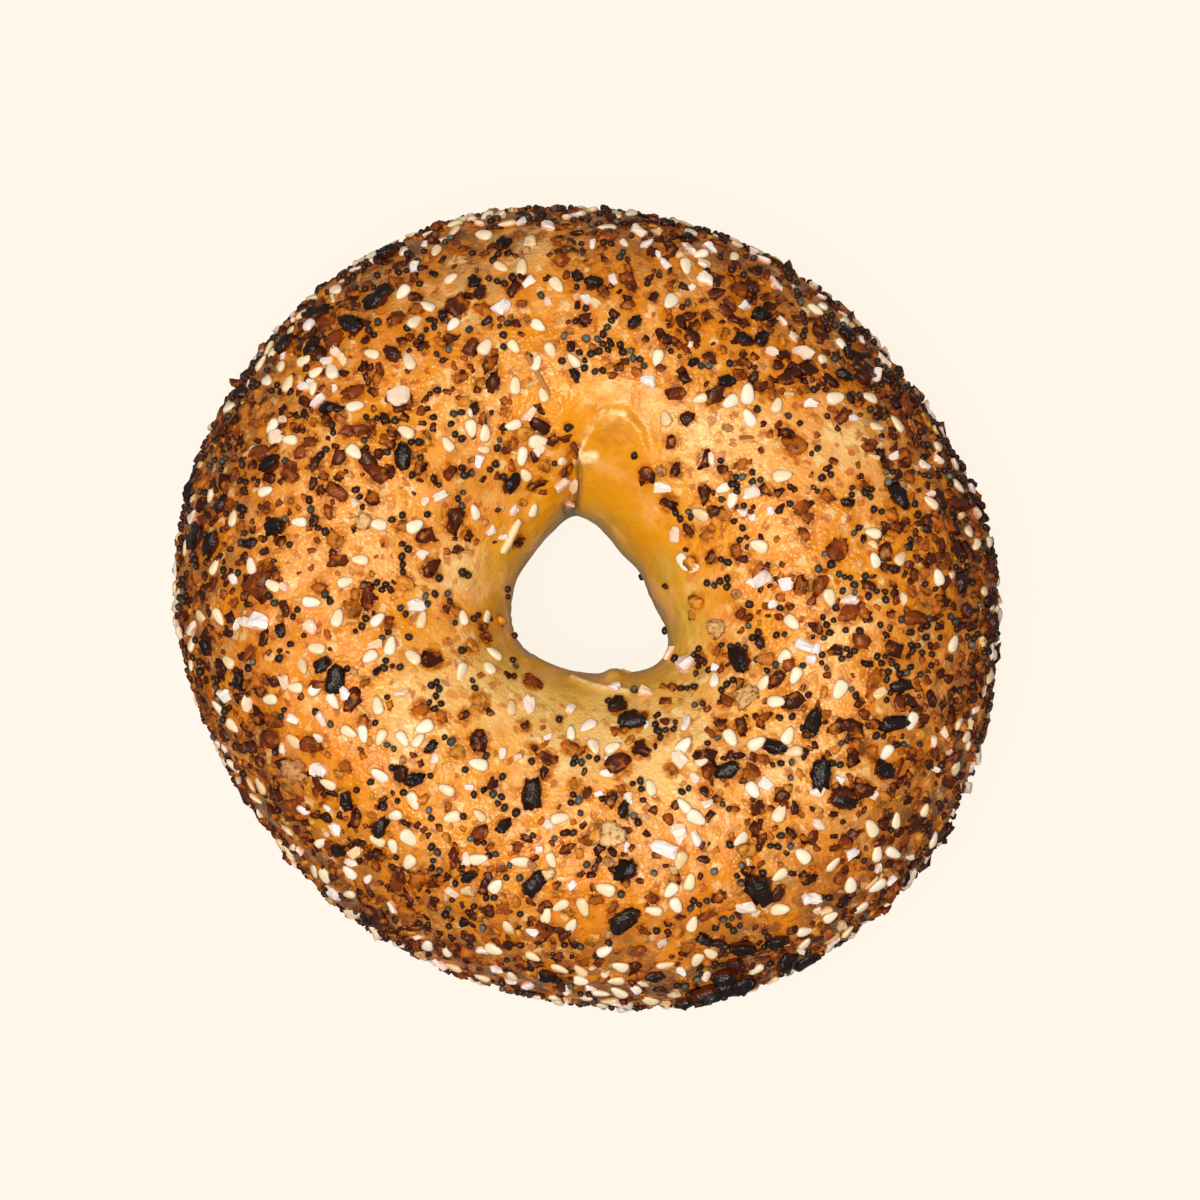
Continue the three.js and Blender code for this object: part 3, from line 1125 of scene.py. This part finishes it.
sesame.piece("sesame_seeds", sesame_look, "sesame_seed", {
    "Faces long": 5, "Faces wide": 3, "Faces high": 2,
    "Squareness": 0.0, "Taper": 0.50, "Lump size": 1.6, "Lump depth": 0.30,
    "Wrinkles": (1.0, 1.0, 1.0), "Wrinkle depth": 0.05,
})


# ---------------------------------------------------------------------------------------------
# Coarse salt: cloudy white grains, angular with worn corners, some of them long. Crushed rock
# salt, lightly stained by the crust that it is baked onto.

SALT_PLACES = (
    (561, 483, 2.8, 10), (572, 486, 2.4, -50), (570, 502, 2.6, 72), (540, 449, 2.2, 40),
    (664, 487, 2.6, 0), (676, 534, 3.0, 60), (671, 654, 2.6, 20),
)

salt = Bits()
place_seen(salt, SALT_PLACES, width=(0.65, 0.8), thickness=1.2, tint=(0.2, 0.5),
           sunk=0.25, tilt=0.15, curl=0.0)
strew(salt, 350, pale_share, chips(2.0, 0.24, (0.6, 1.0), (0.45, 0.65)),
      squeeze=0.74, sunk=0.3, tilt=0.25, curl=0.0)

salt_look = Look("cloudy_salt", 0.3, 0.5, (1.0, 0.97, 0.94, 1.0))
salt_look.paint(
    salt_look.own("tint"),
    {0.0: (246, 204, 122), 0.1: (248, 212, 178), 0.5: (250, 222, 202), 1.0: (244, 232, 226)},
    # Warm amber towards each grain's underside: painted shade with light bounced from the crust
    (spread(salt_look.own("rise"), 0.4, -0.1, 0.0, 0.7), (232, 160, 96)),
)
salt_look.lit_through(0.3, (1.0, 0.8, 0.7), 0.6 * MM)
salt_look.bumps(noise(salt_look.spot, 0.4 * MM, 2.0), 0.05 * MM)

salt.piece("salt_grains", salt_look, "coarse_salt", {
    "Faces long": 3, "Faces wide": 3, "Faces high": 2,
    "Squareness": 0.3, "Taper": 0.35, "Lump size": 1.1, "Lump depth": 1.6,
    "Wrinkles": (1.0, 1.0, 1.0), "Wrinkle depth": 0.1, "Smooth": False,
})


# ---------------------------------------------------------------------------------------------
# Dried onion: minced flakes that toasted from amber to dark brown, angular and half clear, and
# the crumbs that come with them, sunk deeper into the dough.

BROWN_HANDFULS = (
    (320, 290, 7), (230, 430, 6), (880, 430, 8), (930, 500, 8), (175, 570, 6), (190, 680, 9),
    (230, 770, 7), (320, 830, 7), (340, 880, 7), (430, 930, 8), (530, 930, 6), (930, 740, 8),
    (870, 860, 8), (470, 370, 6), (690, 320, 6), (750, 340, 5), (850, 380, 6), (720, 775, 4),
    (620, 870, 4), (275, 440, 6), (370, 600, 3), (790, 510, 4), (745, 560, 4), (680, 920, 6),
    (760, 960, 5), (265, 580, 5), (560, 230, 5), (210, 640, 8), (251, 720, 7), (907, 459, 8),
    (907, 525, 8), (776, 591, 6), (910, 656, 8), (907, 788, 9), (316, 328, 6), (316, 394, 6),
    (382, 394, 6), (316, 459, 6), (513, 328, 6), (645, 394, 5), (776, 394, 6), (710, 722, 6),
    (513, 919, 8), (316, 788, 7), (382, 919, 7), (907, 853, 7), (655, 372, 5), (395, 437, 5),
    (720, 500, 5), (330, 565, 4), (920, 560, 7), (200, 695, 6), (330, 825, 7), (460, 825, 5),
    (520, 950, 6), (525, 437, 5), (525, 500, 4), (850, 760, 6), (980, 570, 6), (980, 695, 6),
    (460, 890, 7), (395, 825, 6), (915, 760, 5), (785, 825, 5),
)
BROWN_SPARSE = (
    (620, 430, 9), (480, 470, 4), (320, 600, 6), (400, 660, 8), (490, 760, 5), (680, 750, 6),
    (560, 700, 6), (720, 610, 4), (540, 340, 4), (700, 440, 6), (770, 470, 4), (860, 570, 4),
    (316, 656, 6), (448, 656, 8), (316, 722, 6), (382, 722, 6), (579, 722, 6), (448, 788, 7),
    (448, 919, 5), (645, 919, 7), (710, 919, 6), (655, 730, 7), (475, 695, 6), (579, 200, 6),
    (513, 262, 5), (841, 459, 7), (776, 525, 5), (841, 525, 6), (907, 656, 4), (776, 919, 5),
    (841, 328, 5), (395, 500, 5), (460, 435, 5), (265, 630, 5), (525, 240, 5), (720, 435, 5),
)
FLAKE_PLACES = (
    (362, 431, 3.0, 0), (264, 453, 4.1, 20), (337, 493, 3.2, -30), (490, 363, 2.9, 30),
    (494, 382, 2.7, 70), (676, 394, 3.0, 10), (258, 582, 5.5, 60), (366, 600, 3.2, 80),
    (318, 685, 2.2, 0), (432, 660, 3.2, 30), (312, 745, 3.8, 10), (619, 763, 3.6, 20),
    (642, 750, 3.0, -40), (706, 757, 3.0, 0), (842, 798, 4.3, 10), (775, 680, 3.2, 40),
    (671, 442, 2.0, 80), (531, 682, 2.8, 0), (485, 638, 1.9, 0), (518, 542, 1.8, 0),
)
AMBER_FLAKE_PLACES = (
    (692, 563, 2.1, -45), (697, 602, 2.3, 0), (500, 621, 1.7, 0), (471, 647, 2.0, -20),
    (480, 703, 2.8, 70),
)
RED_FLAKE_PLACES = ((669, 503, 2.8, -20), (517, 541, 1.9, 0), (535, 484, 2.6, 20), (706, 460, 3.0, 70))
SPIKE_PLACES = (
    (231, 378, 2.4, 60), (925, 391, 2.8, 40), (948, 426, 2.4, 10), (443, 974, 1.9, -80),
    (453, 979, 2.1, -70), (464, 972, 1.8, -60), (288, 861, 2.2, 0), (942, 842, 2.4, 20),
    (887, 910, 2.2, -40), (787, 270, 2.2, 40),
)


def onion_share(places, across):
    by_turn = np.interp(across, (0.2, 0.36, 0.42, 0.48), (0.95, 1.25, 1.05, 0.8))
    share = handfuls(places, 60, 5 * MM, 0.55) * by_turn
    share += 1.2 * near_patches(places, BROWN_HANDFULS)
    return share * (1 - 0.8 * near_patches(places, BROWN_SPARSE))


onion = Bits()
place_seen(onion, FLAKE_PLACES, width=(0.6, 0.85), thickness=1.5, tint=(0.05, 0.5),
           sunk=0.3, tilt=0.2, curl=0.15)
place_seen(onion, AMBER_FLAKE_PLACES, width=(0.7, 0.9), thickness=1.1, tint=(0.9, 1.0),
           sunk=0.2, tilt=0.1, curl=0.0)
place_seen(onion, RED_FLAKE_PLACES, width=(0.5, 0.6), thickness=1.1, tint=(0.0, 0.15),
           sunk=0.25, tilt=0.1, curl=0.0)
place_seen(onion, SPIKE_PLACES, width=(0.5, 0.7), thickness=1.2, tint=(0.1, 0.5),
           sunk=0.1, tilt=0.6, curl=0.3)
strew(onion, 1350, onion_share,
      chips(2.1, 0.32, (0.6, 0.95), (0.3, 0.5), tint=lambda: rng.beta(0.8, 1.3)),
      squeeze=0.60, sunk=0.42, tilt=0.2, curl=0.2)
crumbs = Bits()
strew(crumbs, 1900, onion_share,
      chips(1.2, 0.24, (0.6, 0.95), (0.5, 0.8), tint=lambda: rng.beta(0.8, 1.0)),
      squeeze=0.60, sunk=0.50, tilt=0.25, curl=0.1)

onion_look = Look("toasted_onion", 0.3, 0.35, (1.0, 0.7, 0.45, 1.0))
spot = onion_look.spot
onion_look.paint(
    onion_look.own("tint"),
    {0.0: (50, 16, 12), 0.3: (88, 32, 16), 0.5: (140, 60, 18), 0.75: (190, 102, 24), 1.0: (232, 156, 56)},
    (drifts(spot, 1.5 * MM, 3.0, 0.42, 0.66, 0.75), (54, 13, 5)),
    (drifts(elsewhere(spot, 4.1), 1.5 * MM, 2.0, 0.52, 0.70, 0.7), (206, 108, 16)),
)
onion_look.lit_through(0.2, (1.0, 0.4, 0.12), 0.7 * MM)
onion_look.bumps(noise(spot, 0.4 * MM, 3.0), 0.09 * MM)

onion.piece("onion_flakes", onion_look, "dried_onion", {
    "Faces long": 4, "Faces wide": 3, "Faces high": 2,
    "Squareness": 0.2, "Taper": 0.3, "Lump size": 0.9, "Lump depth": 2.1,
    "Wrinkles": (1.5, 1.5, 1.5), "Wrinkle depth": 0.25,
})
crumbs.piece("onion_crumbs", onion_look, "dried_onion", {
    "Faces long": 3, "Faces wide": 2, "Faces high": 2,
    "Squareness": 0.35, "Taper": 0.2, "Lump size": 1.0, "Lump depth": 1.7,
    "Wrinkles": (1.5, 1.5, 1.5), "Wrinkle depth": 0.2,
})


# ---------------------------------------------------------------------------------------------
# Garlic: knobbly golden granules of dried garlic, cut and toasted, a few of them large. They
# are the roughest of the toppings, full of small pits.

GARLIC_PLACES = ((297, 770, 4.0, 0), (747, 697, 3.4, 30), (611, 834, 4.0, -30))

garlic = Bits()
place_seen(garlic, GARLIC_PLACES, width=(0.7, 0.9), thickness=2.0, tint=(0.3, 0.8),
           sunk=0.25, tilt=0.2, curl=0.0)
strew(garlic, 70, anywhere, chips(1.6, 0.3, (0.7, 0.95), (0.5, 0.75)),
      squeeze=0.7, sunk=0.3, tilt=0.3, curl=0.0)

garlic_look = Look("toasted_garlic", 0.5, 0.4, WARM_GLOSS)
spot = garlic_look.spot
garlic_look.paint(
    garlic_look.own("tint"),
    {0.0: (170, 104, 56), 0.5: (220, 164, 98), 1.0: (244, 210, 150)},
    (drifts(spot, 0.8 * MM, 3.0, 0.45, 0.7, 1.0), (150, 82, 36)),
)
garlic_look.bumps(noise(spot, 0.35 * MM, 3.0), 0.12 * MM)

garlic.piece("garlic_granules", garlic_look, "dried_garlic", {
    "Faces long": 6, "Faces wide": 6, "Faces high": 6,
    "Squareness": 0.2, "Taper": 0.1, "Lump size": 0.6, "Lump depth": 1.3,
    "Wrinkles": (3.0, 3.0, 3.0), "Wrinkle depth": 0.5,
})


# ---------------------------------------------------------------------------------------------
# Slivers of onion skin: thin pale straws, light or browned, that dried into curls. The two
# thickest are chips of the dried onion itself.

CHUNK_PLACES = ((508, 541, 4.0, 60), (512, 530, 3.6, 72))
CURVED_PLACES = ((538, 374, 6.8, -60), (415, 615, 3.6, 60))


def sliver_size():
    length = rng.lognormal(math.log(2.0), 0.3)
    return (length, rng.uniform(0.4, 0.8), rng.uniform(0.3, 0.5)), rng.random()


slivers = Bits()
place_seen(slivers, CHUNK_PLACES, width=(0.34, 0.36), thickness=0.9, tint=(0.9, 1.0),
           sunk=0.15, tilt=0.1, curl=0.1)
place_seen(slivers, CURVED_PLACES, width=(0.1, 0.12), thickness=0.5, tint=(0.1, 0.3),
           sunk=0.1, tilt=0.1, curl=0.6)
strew(slivers, 60, anywhere, sliver_size, squeeze=0.5, sunk=0.15, tilt=0.12, curl=0.35)

sliver_look = Look("onion_skin", 0.5, 0.4, WARM_GLOSS)
sliver_colours = {0.0: (150, 88, 40), 0.4: (220, 160, 88), 1.0: (250, 226, 176)}
sliver_look.paint(sliver_look.own("tint"), sliver_colours)
sliver_look.bumps(noise(sliver_look.spot, 0.3 * MM, 2.0), 0.04 * MM)

slivers.piece("onion_slivers", sliver_look, "dried_onion", {
    "Faces long": 12, "Faces wide": 2, "Faces high": 2,
    "Squareness": 0.8, "Taper": 0.3, "Lump size": 0.8, "Lump depth": 0.7,
    "Wrinkles": (2.0, 1.0, 1.0), "Wrinkle depth": 0.1,
})


# ---------------------------------------------------------------------------------------------
# Poppy seeds: tiny kidney-shaped seeds, blue-black, many of them in little chains where they
# stuck together. They fill the room that the larger toppings leave.

CHAIN_CHANCE = 0.58  # that one more seed sticks to the end of a chain
CHAIN_STEP = 1.15  # millimetres from seed to seed
POPPY_PLACES = (
    (635, 455, 1.4, 80), (667, 586, 1.1, 0), (513, 637, 1.1, 0), (512, 661, 1.1, 0), (506, 589, 1.2, 0),
)


def poppy_size():
    length = rng.normal(1.2, 0.13)
    return (length, length * 0.9, length * 0.85), rng.random()


def poppy_share(places, across):
    share = handfuls(places, 90, 4 * MM, 0.5) * np.interp(across, (0.33, 0.5), (1.0, 0.9))
    share += 0.8 * near_patches(places, DARK_HANDFULS)
    return share * (1 - 0.7 * near_patches(places, DARK_SPARSE))


poppy = Bits()
place_seen(poppy, POPPY_PLACES, width=(0.85, 0.9), thickness=1.0, tint=(0.0, 0.4),
           sunk=0.22, tilt=0.3, curl=0.1)
strew(poppy, 1250, poppy_share, poppy_size, squeeze=0.78, sunk=0.22, tilt=0.4, curl=0.12)

# Each chain goes on from a seed already laid, a seed's width at a time.
for chain_start, *_ in list(poppy.laid):
    place = Vector(chain_start)
    while rng.random() < CHAIN_CHANCE:
        turn_by = rng.uniform(0, FULL_TURN)
        _, normal, _, _ = crust_surface.find_nearest(place)
        step = normal.to_track_quat("Z", "Y") @ Vector((math.cos(turn_by), math.sin(turn_by), 0))
        place, normal, _, _ = crust_surface.find_nearest(place + step * CHAIN_STEP * MM)
        sizes, tint = poppy_size()
        half_size = np.array(sizes) * MM / 2
        if crowded(place, half_size[0], squeeze=0.75):
            break
        take(place, half_size[0])
        spin = rng.uniform(0, FULL_TURN)
        curl = rng.normal(0, 0.12)
        leaning = rng.normal(0, 0.4, 2)
        poppy.lay(place, normal, half_size, tint, curl, 0.2, leaning, spin)

poppy_look = Look("poppy_skin", 0.4, 0.42, (1.0, 0.9, 0.75, 1.0))
poppy_look.paint(
    poppy_look.own("tint"),
    {0.0: (34, 12, 8), 0.45: (36, 20, 14), 0.68: (44, 38, 30), 0.86: (64, 66, 56), 1.0: (104, 106, 96)},
    # Dark red-brown down each seed's sides: painted shade with warm light bounced from the crust
    (spread(poppy_look.own("rise"), 0.7, 0.1, 0.0, 0.85), (64, 18, 6)),
)
poppy_look.bumps(cells(poppy_look.spot, 0.25 * MM), 0.012 * MM)

poppy.piece("poppy_seeds", poppy_look, "poppy_seed", {
    "Faces long": 3, "Faces wide": 2, "Faces high": 2,
    "Squareness": 0.0, "Taper": 0.15, "Lump size": 1.1, "Lump depth": 0.65,
    "Wrinkles": (1.0, 1.0, 1.0), "Wrinkle depth": 0.05,
})


# ---------------------------------------------------------------------------------------------
# Syrup that the toasted onion let out: it stains the crust brown round the flakes and the
# charred bits. Poppy seeds leave a fainter dark ring, a stain with painted contact shadow. It is
# a number that the crust carries.

STAINS_AND_SHADOWS = (  # a kind of bit, how far its stain reaches, and how strong the stain is
    (onion, 0.7 * MM, 0.85),
    (charred, 0.7 * MM, 0.65),
    # The ring round the poppy seeds is partly painted contact shadow
    (poppy, 0.45 * MM, 0.32),
)
STAIN_EDGE = 0.8  # where the stain starts to fade, as a share of a bit's half length

stains_and_shadows = np.zeros(len(crust_places))
for kind, reach, strength in STAINS_AND_SHADOWS:
    middles = KDTree(len(kind.laid))
    for i, (middle, *_) in enumerate(kind.laid):
        middles.insert(middle, i)
    middles.balance()
    for i, place in enumerate(crust_places):
        _, nearest, away = middles.find(place)
        half_length = kind.laid[nearest][2][0]
        past_edge = max(away - STAIN_EDGE * half_length, 0)
        stains_and_shadows[i] = max(stains_and_shadows[i], strength * math.exp(-(past_edge / reach) ** 2))
mark_crust("stain_and_shadow", stains_and_shadows)
